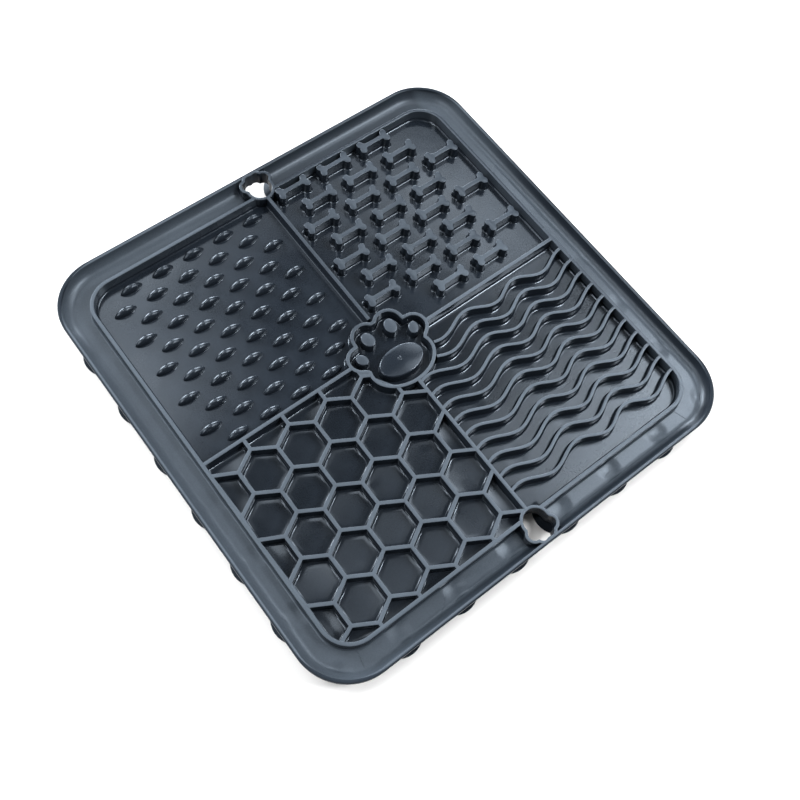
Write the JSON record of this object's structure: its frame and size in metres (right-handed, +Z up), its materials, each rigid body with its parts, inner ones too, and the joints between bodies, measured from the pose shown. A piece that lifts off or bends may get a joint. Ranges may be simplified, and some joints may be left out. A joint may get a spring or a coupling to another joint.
{
  "type": "lick mat",
  "caption": "Square silicone lick mat with studs, bones, waves and honeycomb round a paw, hang holes in its rim and suction cups below.",
  "frame": {"origin": "middle of the mat, level with the suction cups' rims", "axes": "+Z up out of the licking face; +Y towards the side with the studs and the bones; +X towards the side with the bones and the waves"},
  "size_m": [0.2012, 0.2012, 0.011],
  "materials": {
    "silicone": "dark slate blue-grey silicone, satin"
  },
  "bodies": {
    "root": {"lick_mat": "silicone"}
  },
  "joints": []
}
